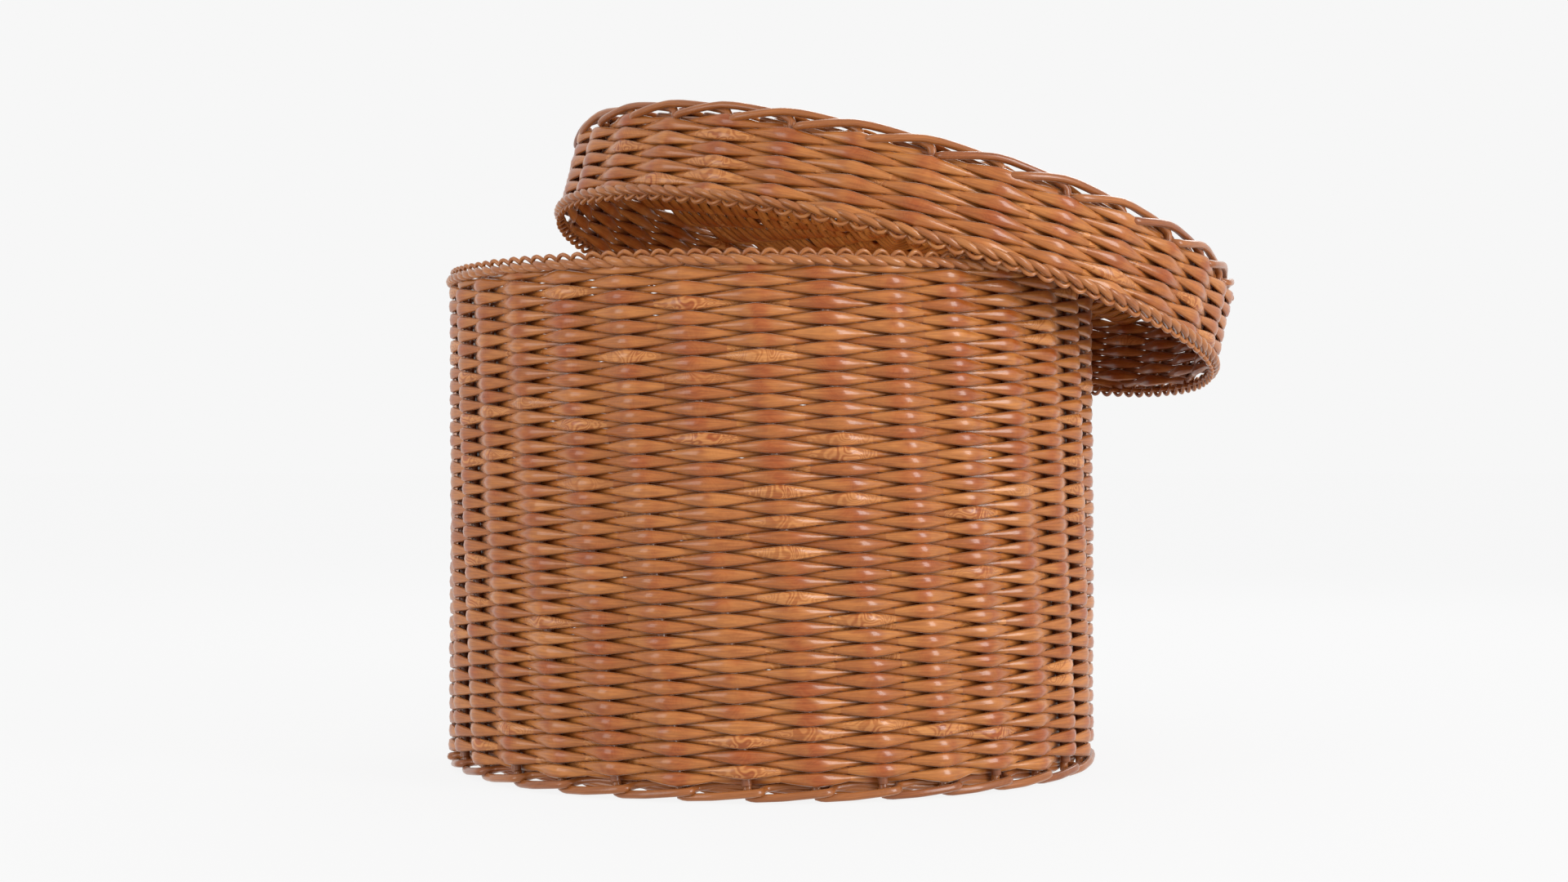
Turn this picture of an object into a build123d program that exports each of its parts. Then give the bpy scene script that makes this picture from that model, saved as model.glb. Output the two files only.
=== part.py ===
"""Round wicker storage basket with a loose cap lid that leans on the basket's rim.

Units are millimetres and +Z is up. The origin is on the basket's axis, in the plane that the foot
border rests on. The lid is built on its own seat plane, which lies in the middle of the lid's rim
braid and is tilted, because the lid sits askew: its braid crosses the basket's rim at two points and
the underside of its panel rests on the far side of that rim.

A woven surface passes on both sides of the rods that it is woven on. It is held as two closed
layers, one for the bumps on each side, with the rods standing between them.
"""

import os
from math import cos, radians

from build123d import *

os.makedirs("parts", exist_ok=True)

# ---------------------------------------------------------------- driving dimensions
stake_count = 32
first_stake_angle = 2.2
edge_rounding = 0.9

# basket wall
wall_outer_radius = 200.0
wall_inner_radius = 185.6
wall_bottom = 9.2
row_pitch = 4.134
band_rows = (6, 7, 7, 7, 7, 7, 7, 7, 7, 7)
wall_layer_thickness = 3.4
stake_radius = 2.8
stake_circle = 192.8
stake_lean = 7.2
stake_end_gap = 0.4

# braid along an open edge
braid_width = 8.8
braid_height = 8.4
braid_corner = 3.8
rim_braid_circle = 197.5

# foot border
foot_inner_radius = 190.5
foot_outer_radius = 197.5
foot_height = 9.0
foot_corner = 2.0
border_rod_radius = 2.4
border_rod_length = 44.0
border_rod_slope = 5.0

# woven base and woven lid panel
panel_thickness = 9.0
panel_layer_thickness = 2.1
base_middle_height = 8.5
base_radius = 185.2
hub_radius = 21.5
inner_weave_radius = 62.0
middle_weave_radius = 124.0
spoke_radius = 2.3
long_spoke_count = 16
slath_stick_radius = 2.2
slath_stick_pitch = 4.6
slath_stick_count = 4
slath_stick_length = 37.0
slath_layer_offset = 2.25

# lid, with heights measured from the middle of its rim braid along the lid's own axis
lid_seat_centre = (71.1, 31.5, 289.8)
lid_tilt_sideways = 13.72
lid_tilt_backwards = -6.54
lid_outer_radius = 214.4
lid_inner_radius = 202.6
lid_braid_circle = 212.0
lid_wall_bottom = 4.9
lid_row_pitch = 4.3
lid_band_rows = (5, 5)
lid_stake_radius = 2.5
lid_stake_circle = 208.5
lid_layer_thickness = 3.2
lid_panel_middle_height = 49.6
lid_panel_radius = 202.3
lid_border_inner_radius = 205.2
lid_border_outer_radius = 211.4
lid_border_height = 9.0

# ---------------------------------------------------------------- derived sizes
wall_top = wall_bottom + row_pitch * sum(band_rows)
rim_braid_bottom = wall_top + 0.05
lid_wall_top = lid_wall_bottom + lid_row_pitch * sum(lid_band_rows)
lid_border_bottom = lid_wall_top + 0.1
lid_braid_bottom = lid_wall_bottom - 0.1 - braid_height
basket_seat = Plane.XY
lid_seat = Plane(Location(lid_seat_centre, (lid_tilt_backwards, lid_tilt_sideways, 0)))


# ---------------------------------------------------------------- shared shapes
def profile_plane(seat):
    """Plane through a seat's axis, with x pointing outwards and y along the axis."""
    return Plane(origin=seat.origin, x_dir=seat.x_dir, z_dir=-seat.y_dir)


def revolve_about(seat, profile):
    """Turn a profile once round the axis of a seat plane."""
    revolve(profile, axis=Axis(seat.origin, seat.z_dir))


def add_stakes(seat, bottom, top, circle, radius, lean):
    """Upright rods in a circle round a seat's axis, each leaning along the wall."""
    length = (top - bottom - 2 * stake_end_gap) / cos(radians(lean))
    with Locations(seat.offset((bottom + top) / 2)):
        with PolarLocations(circle, stake_count, start_angle=first_stake_angle):
            Cylinder(radius, length, rotation=(lean, 0, 0))


def add_spokes(seat, height, start, end, first_angle):
    """Flat-lying rods that run outwards from one radius to another."""
    with Locations(seat.offset(height)):
        with PolarLocations((start + end) / 2, long_spoke_count, start_angle=first_angle):
            Cylinder(spoke_radius, end - start, rotation=(0, 90, 0))


def add_rounded_ring(seat, bottom, height, inner, outer, corner):
    """Ring with a rounded rectangular section."""
    with BuildSketch(profile_plane(seat)) as profile:
        with Locations(((inner + outer) / 2, bottom + height / 2)):
            RectangleRounded(outer - inner, height, corner)
    revolve_about(seat, profile.sketch)


def add_border_rods(seat, middle_height, circle, slope):
    """Slanting rods laid end over end round the outside of a border."""
    with Locations(seat.offset(middle_height)):
        with PolarLocations(circle, stake_count, start_angle=first_stake_angle):
            Cylinder(border_rod_radius, border_rod_length, rotation=(slope - 90, 0, 0))


def finish(part, name):
    """Label a finished piece and write it as its own STEP file."""
    part.label = name
    export_step(part, f"parts/{name}.step")


def make_slath(seat, middle_height, prefix):
    """Cross of sticks at the middle of a woven disc, one layer over the other."""
    span = slath_stick_pitch
    with BuildPart() as slath_lower:
        with Locations(seat.offset(middle_height - slath_layer_offset)):
            with GridLocations(0, span, 1, slath_stick_count):
                Cylinder(slath_stick_radius, slath_stick_length, rotation=(0, 90, 0))
    finish(slath_lower.part, f"{prefix}_slath_lower")

    with BuildPart() as slath_upper:
        with Locations(seat.offset(middle_height + slath_layer_offset)):
            with GridLocations(span, 0, slath_stick_count, 1):
                Cylinder(slath_stick_radius, slath_stick_length, rotation=(90, 0, 0))
    finish(slath_upper.part, f"{prefix}_slath_upper")


def make_disc(seat, middle_height, disc_radius, prefix):
    """Spokes of a woven disc and the three rings of weaving above and below them."""
    step = 360 / long_spoke_count
    short_angle = first_stake_angle + step / 2
    start = hub_radius + 0.2
    short_start = inner_weave_radius + 0.4
    end = disc_radius - 0.4

    with BuildPart() as long_spokes:
        add_spokes(seat, middle_height, start, end, first_stake_angle)
    finish(long_spokes.part, f"{prefix}_spokes")

    with BuildPart() as short_spokes:
        add_spokes(seat, middle_height, short_start, end, short_angle)
    finish(short_spokes.part, f"{prefix}_bye_spokes")

    edges = (hub_radius, inner_weave_radius, middle_weave_radius, disc_radius)
    names = ("inner", "middle", "outer")
    lower = middle_height - panel_thickness / 2
    upper = middle_height + panel_thickness / 2 - panel_layer_thickness
    for name, inner, outer in zip(names, edges[:-1], edges[1:]):
        with BuildPart() as weave:
            for bottom in (lower, upper):
                add_rounded_ring(
                    seat, bottom, panel_layer_thickness, inner + 0.1, outer - 0.1, edge_rounding
                )
        finish(weave.part, f"{prefix}_weave_{name}")


def make_wall(seat, bottom, rows_per_band, pitch, inner, outer, layer, prefix):
    """Bands of woven rows stacked on each other, each with a layer inside and outside the stakes."""
    band_bottom = bottom
    for number, rows in enumerate(rows_per_band, start=1):
        height = rows * pitch
        with BuildPart() as band:
            add_rounded_ring(seat, band_bottom, height, outer - layer, outer, edge_rounding)
            add_rounded_ring(seat, band_bottom, height, inner, inner + layer, edge_rounding)
        finish(band.part, f"{prefix}_weave_{number:02d}")
        band_bottom += height


# ---------------------------------------------------------------- basket
make_slath(basket_seat, base_middle_height, "base")
make_disc(basket_seat, base_middle_height, base_radius, "base")
make_wall(
    basket_seat,
    wall_bottom,
    band_rows,
    row_pitch,
    wall_inner_radius,
    wall_outer_radius,
    wall_layer_thickness,
    "side",
)

with BuildPart() as side_stakes:
    add_stakes(basket_seat, wall_bottom, wall_top, stake_circle, stake_radius, stake_lean)
finish(side_stakes.part, "side_stakes")

with BuildPart() as foot_border:
    add_rounded_ring(basket_seat, 0, foot_height, foot_inner_radius, foot_outer_radius, foot_corner)
    add_border_rods(basket_seat, foot_height / 2, foot_outer_radius + 0.8, border_rod_slope)
finish(foot_border.part, "foot_border")

with BuildPart() as rim_braid:
    add_rounded_ring(
        basket_seat,
        rim_braid_bottom,
        braid_height,
        rim_braid_circle - braid_width / 2,
        rim_braid_circle + braid_width / 2,
        braid_corner,
    )
finish(rim_braid.part, "rim_braid")

# ---------------------------------------------------------------- lid
make_slath(lid_seat, lid_panel_middle_height, "lid_panel")
make_disc(lid_seat, lid_panel_middle_height, lid_panel_radius, "lid_panel")
make_wall(
    lid_seat,
    lid_wall_bottom,
    lid_band_rows,
    lid_row_pitch,
    lid_inner_radius,
    lid_outer_radius,
    lid_layer_thickness,
    "lid_side",
)

with BuildPart() as lid_side_stakes:
    add_stakes(lid_seat, lid_wall_bottom, lid_wall_top, lid_stake_circle, lid_stake_radius, 0)
finish(lid_side_stakes.part, "lid_side_stakes")

with BuildPart() as lid_top_border:
    add_rounded_ring(
        lid_seat,
        lid_border_bottom,
        lid_border_height,
        lid_border_inner_radius,
        lid_border_outer_radius,
        foot_corner,
    )
    add_border_rods(
        lid_seat,
        lid_border_bottom + lid_border_height / 2,
        lid_border_outer_radius + 0.8,
        border_rod_slope,
    )
finish(lid_top_border.part, "lid_top_border")

with BuildPart() as lid_rim_braid:
    add_rounded_ring(
        lid_seat,
        lid_braid_bottom,
        braid_height,
        lid_braid_circle - braid_width / 2,
        lid_braid_circle + braid_width / 2,
        braid_corner,
    )
finish(lid_rim_braid.part, "lid_rim_braid")
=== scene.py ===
"""Round wicker storage basket with its loose cap lid leaning on the rim.

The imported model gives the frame: where each piece is and which body it rides on. This script gives
the looks. Every row of weaving, every strand of the plaits and every border rod is a tube that is
spun or extruded with bmesh and then laid along its own path. Lengths are in metres.
"""

import logging
import math
from abc import ABC, abstractmethod
from dataclasses import dataclass
from enum import Enum, IntEnum
from functools import cached_property
from typing import ClassVar

import bmesh
import bpy
import numpy as np
from mathutils import Matrix, Vector


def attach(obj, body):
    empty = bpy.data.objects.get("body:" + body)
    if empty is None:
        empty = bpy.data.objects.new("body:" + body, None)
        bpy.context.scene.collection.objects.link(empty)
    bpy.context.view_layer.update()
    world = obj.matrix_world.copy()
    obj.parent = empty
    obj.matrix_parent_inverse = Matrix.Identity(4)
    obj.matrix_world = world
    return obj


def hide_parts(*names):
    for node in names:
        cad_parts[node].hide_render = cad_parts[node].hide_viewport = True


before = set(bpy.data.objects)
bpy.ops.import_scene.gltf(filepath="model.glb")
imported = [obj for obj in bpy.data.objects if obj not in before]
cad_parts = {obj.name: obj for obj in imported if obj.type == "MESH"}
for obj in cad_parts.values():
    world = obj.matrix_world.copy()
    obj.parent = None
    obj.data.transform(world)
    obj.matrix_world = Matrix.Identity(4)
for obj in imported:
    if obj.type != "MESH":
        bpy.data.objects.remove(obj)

logging.basicConfig(level=logging.INFO, format="%(message)s")
log = logging.getLogger("basket")

MM = 0.001
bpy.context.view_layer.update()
STAKES = 32
FIRST_STAKE_ANGLE = 2.2
ROW_PITCH = 4.134 * MM
PLAIT_LOOPS = 120

Array = np.ndarray
Colour = tuple[float, float, float]
Point = tuple[float, float, float]
RoutePoints = tuple[tuple[float, float, float, float], ...]
Socket = tuple[bpy.types.Node, str]


class Side(Enum):
    """Which way up a plait is made."""

    UPRIGHT = 1
    UPSIDE_DOWN = -1


class Draw(IntEnum):
    """What a random number is for. Each use has its own number, so that no two go together."""

    SAG = 2
    TONE = 3
    DISC_TONE = 4
    ROW_TONE = 5
    PLAIT_TONE = 6
    HEIGHT = 7
    DISC_ROW_TONE = 9
    FIGURE = 11
    DISC_FIGURE = 12
    PLAIT_FIGURE = 13
    PLAIT_THICKNESS = 21
    PLAIT_HEIGHT = 22
    BORDER_HEIGHT = 31
    BORDER_THICKNESS = 33
    BORDER_TONE = 41
    BORDER_FIGURE = 43


# ---------------------------------------------------------------- random variation
HASH_WEIGHTS = (12.9898, 78.233, 37.719)
HASH_SCALE = 43758.5453


def hash01(*keys: Array) -> Array:
    """Repeatable random numbers from 0 to 1.

    Args:
        keys: whole numbers, such as a row and a stake number.

    Returns:
        One number for each set of keys.
    """
    total = sum(np.asarray(key, float) * weight for key, weight in zip(keys, HASH_WEIGHTS))
    return np.modf(np.abs(np.sin(total) * HASH_SCALE))[0]


def signed(*keys: Array) -> Array:
    """Repeatable random numbers from -1 to 1."""
    return 2 * hash01(*keys) - 1


def drift(position: Array, *keys: Array) -> Array:
    """Smooth random curve along a rod, from -1 to 1, with a new value at each whole position.

    Args:
        position: place along the rod.
        keys: the rod's own numbers.

    Returns:
        The curve's value at each place.
    """
    start = np.floor(position)
    share = position - start
    share = share * share * (3 - 2 * share)
    return signed(start, *keys) * (1 - share) + signed(start + 1, *keys) * share


# ---------------------------------------------------------------- tubes
@dataclass
class Tubes(ABC):
    """Many like tubes in one mesh. Each is made straight or round by bmesh, then laid on its path.

    A kind of tube says where it runs, how thick it is and what its finish reads. Those methods
    take, for every vertex, the number of its tube and its place along the tube from 0 to 1.

    Attributes:
        count: number of tubes.
        sections: steps along each tube.
        sides: faces round each tube.
        closed: whether a tube's end joins its start.
        length: length of one tube, for its grain.
    """

    LANE: ClassVar[float] = 4.0
    HUB: ClassVar[float] = 10.0

    count: int
    sections: int
    sides: int
    closed: bool
    length: float

    @abstractmethod
    def path(self, index: Array, along: Array) -> Array:
        """Centre line, as an N by 3 array."""

    @abstractmethod
    def size(self, index: Array, along: Array) -> Array:
        """Half thickness outwards and half width across, as an N by 2 array."""

    @abstractmethod
    def out(self, index: Array, along: Array) -> Array:
        """The direction that counts as outwards, as an N by 3 array."""

    @abstractmethod
    def marks(self, index: Array, along: Array) -> Array:
        """Tone, bend and seed for the finish, as an N by 3 array."""

    def make_piece(self, name: str) -> bpy.types.Object:
        """Make the tubes, lay them along their paths and write the marks that the finishes read.

        Args:
            name: the piece's name.

        Returns:
            The finished piece.
        """
        mesh = self._make(name)
        index, along, turn = self._read(mesh)
        mesh.vertices.foreach_set("co", self._laid(index, along, turn).ravel())
        self._write_marks(mesh, index, along, turn)
        mesh.polygons.foreach_set("use_smooth", [True] * len(mesh.polygons))
        mesh.update()
        self._face_outwards(mesh)
        piece = bpy.data.objects.new(name, mesh)
        bpy.context.scene.collection.objects.link(piece)
        return piece

    def _make(self, name: str) -> bpy.types.Mesh:
        """Spin or extrude one tube and set copies of it side by side, each in its own lane.

        Args:
            name: the mesh's name.

        Returns:
            The mesh, with its tubes still round and straight.
        """
        bm = bmesh.new()
        if self.closed:
            self._spin_ring(bm)
        else:
            self._extrude_rod(bm)
        first = bm.verts[:] + bm.edges[:] + bm.faces[:]
        step = Vector((0, 0, self.LANE)) if self.closed else Vector((self.LANE, 0, 0))
        for index in range(1, self.count):
            copy = bmesh.ops.duplicate(bm, geom=first)["geom"]
            verts = [v for v in copy if isinstance(v, bmesh.types.BMVert)]
            bmesh.ops.translate(bm, verts=verts, vec=step * index)
        mesh = bpy.data.meshes.new(name)
        bm.to_mesh(mesh)
        bm.free()
        return mesh

    def _spin_ring(self, bm: bmesh.types.BMesh) -> None:
        """One closed ring round the Z axis, of unit tube radius.

        Args:
            bm: the empty bmesh that it is made in.
        """
        place = Matrix.Translation((self.HUB, 0, 0)) @ Matrix.Rotation(math.pi / 2, 4, "X")
        circle = bmesh.ops.create_circle(bm, segments=self.sides, radius=1, matrix=place)
        bmesh.ops.spin(
            bm,
            geom=circle["verts"] + bm.edges[:],
            cent=(0, 0, 0),
            axis=(0, 0, 1),
            angle=math.tau,
            steps=self.sections,
            use_merge=True,
        )

    def _extrude_rod(self, bm: bmesh.types.BMesh) -> None:
        """One rod of unit radius and unit length along Z, with closed ends.

        Args:
            bm: the empty bmesh that it is made in.
        """
        circle = bmesh.ops.create_circle(bm, segments=self.sides, radius=1, cap_ends=True)
        spun = bmesh.ops.spin(
            bm,
            geom=circle["verts"] + bm.edges[:],
            cent=(0, 0, 0),
            axis=(0, 0, 1),
            angle=0,
            dvec=(0, 0, 1 / self.sections),
            steps=self.sections,
        )
        end = [e for e in spun["geom_last"] if isinstance(e, bmesh.types.BMEdge)]
        bmesh.ops.contextual_create(bm, geom=end)

    def _read(self, mesh: bpy.types.Mesh) -> tuple[Array, Array, Array]:
        """Which tube each vertex is on, how far along it, and at which angle round it.

        Args:
            mesh: the mesh as _make() left it.

        Returns:
            Tube number, place along the tube from 0 to 1, and angle round it.
        """
        co = np.empty(len(mesh.vertices) * 3)
        mesh.vertices.foreach_get("co", co)
        x, y, z = co.reshape(-1, 3).T
        if self.closed:
            index = np.round(z / self.LANE)
            turn = np.arctan2(np.hypot(x, y) - self.HUB, z - index * self.LANE)
            tiny = 1e-6
            return index, np.mod(np.arctan2(y, x) / math.tau + tiny, 1.0) - tiny, turn
        index = np.round(x / self.LANE)
        return index, z, np.arctan2(x - index * self.LANE, y)

    def _laid(self, index: Array, along: Array, turn: Array) -> Array:
        """Where the vertices go when their tubes lie on their paths.

        Args:
            index: tube number of each vertex.
            along: its place along the tube.
            turn: its angle round the tube.

        Returns:
            The vertices' places, as an N by 3 array.
        """
        step = 0.2 / self.sections
        centre = self.path(index, along)
        ahead, behind = along + step, along - step
        if not self.closed:
            ahead, behind = np.clip(ahead, 0, 1), np.clip(behind, 0, 1)
        tangent = self.path(index, ahead) - self.path(index, behind)
        tangent /= np.linalg.norm(tangent, axis=1)[:, None]
        outward = self.out(index, along)
        outward -= tangent * (outward * tangent).sum(1)[:, None]
        outward /= np.linalg.norm(outward, axis=1)[:, None]
        across = np.cross(tangent, outward)
        half = self.size(index, along)
        co = centre + outward * half[:, :1] * flattened(np.sin(turn))[:, None]
        co += across * half[:, 1:] * flattened(np.cos(turn))[:, None]
        return co

    def _write_marks(
        self, mesh: bpy.types.Mesh, index: Array, along: Array, turn: Array
    ) -> None:
        """UV map "strand" (metres along, turns round) and colour "cane" (tone, bend, seed).

        Args:
            mesh: the mesh to write on.
            index: tube number of each vertex.
            along: its place along the tube.
            turn: its angle round the tube.
        """
        corner = np.empty(len(mesh.loops), int)
        mesh.loops.foreach_get("vertex_index", corner)
        total = np.empty(len(mesh.polygons), int)
        mesh.polygons.foreach_get("loop_total", total)
        start = np.empty(len(mesh.polygons), int)
        mesh.polygons.foreach_get("loop_start", start)
        first = np.repeat(corner[start], total)
        u, v = along[corner], turn[corner] / math.tau
        u0, v0 = along[first], turn[first] / math.tau
        if self.closed:
            u = u0 + np.mod(u - u0 + 0.5, 1.0) - 0.5
        v = v0 + np.mod(v - v0 + 0.5, 1.0) - 0.5
        layer = mesh.uv_layers.new(name="strand")
        layer.data.foreach_set("uv", np.stack([u * self.length, v], 1).ravel())
        middle = np.repeat(np.add.reduceat(u, start) / total, total)
        values = self.marks(index[corner], np.mod(u, 1.0) if self.closed else u)
        tone = self.marks(index[corner], np.mod(middle, 1.0) if self.closed else middle)
        colour = mesh.color_attributes.new(name="cane", type="FLOAT_COLOR", domain="CORNER")
        data = np.stack([tone[:, 0], values[:, 1], tone[:, 2], np.ones(len(u))], 1)
        colour.data.foreach_set("color", data.ravel())

    @staticmethod
    def _face_outwards(mesh: bpy.types.Mesh) -> None:
        """Turn the faces to point out of the tubes.

        Args:
            mesh: the laid mesh.
        """
        bm = bmesh.new()
        bm.from_mesh(mesh)
        bmesh.ops.recalc_face_normals(bm, faces=bm.faces)
        bm.to_mesh(mesh)
        bm.free()


def flattened(part: Array) -> Array:
    """Sine or cosine of a section's angle, changed so that the section is a little squared."""
    return np.sign(part) * np.abs(part) ** 0.8


def round_the_axis(angle: Array, radius: Array, height: Array, seat: Matrix) -> Array:
    """Points given by angle, radius and height about a seat's axis, in the row frame."""
    local = np.stack([radius * np.cos(angle), radius * np.sin(angle), height + 0 * angle], 1)
    return turned(local, seat) + np.array(seat.translation)


def away_from_axis(angle: Array, seat: Matrix, rise: float = 0.0) -> Array:
    """Directions out from a seat's axis at each angle, with some rise along the axis."""
    return turned(np.stack([np.cos(angle), np.sin(angle), rise + 0 * angle], 1), seat)


def turned(vectors: Array, seat: Matrix) -> Array:
    """Directions turned from a seat's own axes to the row frame."""
    return vectors @ np.array(seat.to_3x3()).T


# ---------------------------------------------------------------- routes
@dataclass(frozen=True)
class Route:
    """A smooth line past points, each given as place, distance outwards, height and radius.

    The place is counted in spacings round the basket and the rest is in millimetres.

    Attributes:
        points: the points that it passes.
        spacing: length of one spacing.
        turn: spacings from its first point to the same point of the next wave, or 0 if it is open.
        rounding: how far along the line a corner is smoothed.
        samples: steps that the smoothed line is held in.
    """

    points: RoutePoints
    spacing: float
    turn: int = 0
    rounding: float = 3.2 * MM
    samples: int = 480

    @cached_property
    def even(self) -> Array:
        """The line as evenly spaced samples, with its corners smoothed."""
        points = np.array(self.points) * (1, MM, MM, MM)
        wave = np.array((self.turn, 0, 0, 0))
        if self.turn:
            points = np.vstack([points, points[0] + wave])
        steps = np.diff(points * (self.spacing, 1, 1, 0), axis=0)
        places = np.concatenate([[0], np.cumsum(np.linalg.norm(steps, axis=1))])
        scale = places[-1]
        half = int(self.rounding / scale * self.samples)
        kernel = np.hanning(2 * half + 3)
        kernel /= kernel.sum()
        wanted = np.arange(-half - 1, self.samples + half + 2) / self.samples
        if self.turn:
            points = np.vstack([points[:-1] - wave, points, points[1:] + wave])
            places = np.concatenate([places[:-1] - scale, places, places[1:] + scale])
        else:
            wanted = np.clip(wanted, 0, 1)
        columns = [np.interp(wanted * scale, places, column) for column in points.T]
        return np.stack([np.convolve(column, kernel, "valid") for column in columns], 1)

    def at(self, place: Array) -> Array:
        """Values at places along the line.

        Args:
            place: places from 0 to 1, or for a closed line any, with 1 for each wave.

        Returns:
            Place in spacings, distance outwards, height and radius, as an N by 4 array.
        """
        wave = np.floor(place) if self.turn else 0 * place
        grid = np.linspace(0, 1, len(self.even))
        values = np.stack([np.interp(place - wave, grid, column) for column in self.even.T], 1)
        values[:, 0] += wave * self.turn
        return values


# ---------------------------------------------------------------- weaving
@dataclass(frozen=True)
class Lattice:
    """The grid that a wall or a disc is woven on.

    Attributes:
        seat: where its axis and base height are.
        circle: radius of the circle of stakes.
        twist: how far the stakes turn for each metre of height, in degrees.
        twist_height: height at which the stakes have their first angle.
        parity: 0 if row 0 passes outside stake 0, otherwise 1.
        stakes: number of stakes.
        first_angle: angle of stake 0 at the reference height, in degrees.
    """

    seat: Matrix
    circle: float
    twist: float = 0.0
    twist_height: float = 0.0
    parity: int = 0
    stakes: int = STAKES
    first_angle: float = FIRST_STAKE_ANGLE

    def stake_angle(self, number: Array, height: Array) -> Array:
        """Angle of a stake at a height, in radians. The number may lie between stakes."""
        turn = self.first_angle - self.twist * (height - self.twist_height)
        return np.radians(turn + number * 360 / self.stakes)


@dataclass(frozen=True)
class Weaver:
    """One thickness of weaving rod and how it squashes as it passes a stake.

    Attributes:
        swing: how far the rod's middle stands out from the circle of stakes.
        peak_height: full height over a stake.
        cross_height: full height where it passes between stakes.
        peak_depth: full depth over a stake.
        cross_depth: full depth between stakes.
        sharpness: from 0, a gentle wave, to 1, a zigzag.
        fullness: how quickly it widens towards a stake.
    """

    swing: float
    peak_height: float = 8.3 * MM
    cross_height: float = 3.5 * MM
    peak_depth: float = 4.2 * MM
    cross_depth: float = 3.2 * MM
    sharpness: float = 0.93
    fullness: float = 1.25

    def wave(self, place: Array) -> Array:
        """Side to side swing, 1 outside a stake and -1 inside the next one."""
        return np.arcsin(self.sharpness * np.cos(math.pi * place)) / math.asin(self.sharpness)

    def swell(self, place: Array) -> Array:
        """How far the rod is squashed flat, 1 over a stake and 0 half way between two stakes."""
        return 1 - np.abs(2 * (place - np.round(place))) ** self.fullness

    def depth(self, swell: Array) -> Array:
        """Full depth, from how far the rod is squashed flat."""
        return self.cross_depth + (self.peak_depth - self.cross_depth) * swell


@dataclass
class WallRows(Tubes):
    """Closed rows of a wall, each outside one stake and inside the next.

    Attributes:
        wall: the wall that they belong to.
        first_row: number of the lowest row.
    """

    wall: "WovenWall"
    first_row: int

    def _stake_place(self, index: Array, along: Array) -> tuple[Array, Array, Array]:
        """Row number, place counted in stakes, and number of the nearest stake."""
        stakes = self.wall.lattice.stakes
        place = along * stakes
        return index + self.first_row, place, np.mod(np.round(place), stakes)

    def path(self, index: Array, along: Array) -> Array:
        """From side to side of the stakes, a little uneven at each."""
        wall, lattice, weaver = self.wall, self.wall.lattice, self.wall.weaver
        row, place, nearest = self._stake_place(index, along)
        side = weaver.wave(place + row + lattice.parity)
        height = wall.first_row_height + row * wall.pitch
        tuck = row >= wall.tucked_row
        sag = signed(row, nearest, Draw.SAG) * weaver.swell(place) * wall.sag
        sag = sag - tuck * wall.tuck_drop
        lift = side * weaver.swing * (1 + wall.uneven_swing * signed(row, nearest))
        lift = lift * (1 - wall.tuck_draw * tuck)
        angle = lattice.stake_angle(place, height)
        return round_the_axis(angle, lattice.circle + lift, height + sag, lattice.seat)

    def size(self, index: Array, along: Array) -> Array:
        """Tall and thin over a stake, small where it crosses the rows beside it."""
        wall, weaver = self.wall, self.wall.weaver
        row, place, nearest = self._stake_place(index, along)
        swell = weaver.swell(place)
        tall = weaver.cross_height + (weaver.peak_height - weaver.cross_height) * swell
        tall *= 1 + wall.uneven_height * signed(row, nearest, Draw.HEIGHT) * swell
        tall *= 1 - wall.tuck_squeeze * (row >= wall.tucked_row)
        return np.stack([weaver.depth(swell) / 2, tall / 2], 1)

    def out(self, index: Array, along: Array) -> Array:
        """Away from the wall's axis."""
        wall = self.wall
        row, place, _ = self._stake_place(index, along)
        angle = wall.lattice.stake_angle(place, wall.first_row_height + row * wall.pitch)
        return away_from_axis(angle, wall.lattice.seat)

    def marks(self, index: Array, along: Array) -> Array:
        """A tone and a seed for each bump, and the bend over its stake."""
        row, place, nearest = self._stake_place(index, along)
        tone = 0.6 * hash01(row, nearest, Draw.TONE) + 0.3 * hash01(row, Draw.ROW_TONE)
        swell = self.wall.weaver.swell(place)
        return np.stack([tone, swell, hash01(row, nearest, Draw.FIGURE)], 1)


@dataclass
class WovenWall:
    """A wall of closed rows.

    Attributes:
        lattice: the stakes that it is woven on.
        weaver: the rod that it is woven with.
        first_row_height: middle of row 0.
        body: the body that the wall rides on.
        tucked_row: the row from which the weave is squeezed in behind a plait.
        pitch: height from row to row.
        sag: most that a bump hangs or rides up.
        uneven_swing: share by which bumps stand out unevenly.
        uneven_height: share by which bumps are unevenly tall.
        tuck_drop: how far a tucked row sits lower.
        tuck_draw: share by which a tucked row is drawn in.
        tuck_squeeze: share by which a tucked row is lower in height.
        sections_per_stake: steps along a row between two stakes.
        sides: faces round a row.
    """

    lattice: Lattice
    weaver: Weaver
    first_row_height: float
    body: str
    tucked_row: int = 1000
    pitch: float = ROW_PITCH
    sag: float = 0.3 * MM
    uneven_swing: float = 0.07
    uneven_height: float = 0.06
    tuck_drop: float = 0.9 * MM
    tuck_draw: float = 0.25
    tuck_squeeze: float = 0.2
    sections_per_stake: int = 10
    sides: int = 8

    def band(self, node: str, first_row: int, rows: int) -> None:
        """Weave some rows as one piece that stands for a CAD node.

        Args:
            node: the CAD node, whose name with "_rows" is the piece's name.
            first_row: number of its lowest row.
            rows: how many rows it holds.
        """
        sections = self.lattice.stakes * self.sections_per_stake
        length = math.tau * self.lattice.circle
        tubes = WallRows(rows, sections, self.sides, True, length, self, first_row)
        dress(tubes.make_piece(f"{node}_rows"), self.body, WEAVER_FINISH, node)


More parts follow.
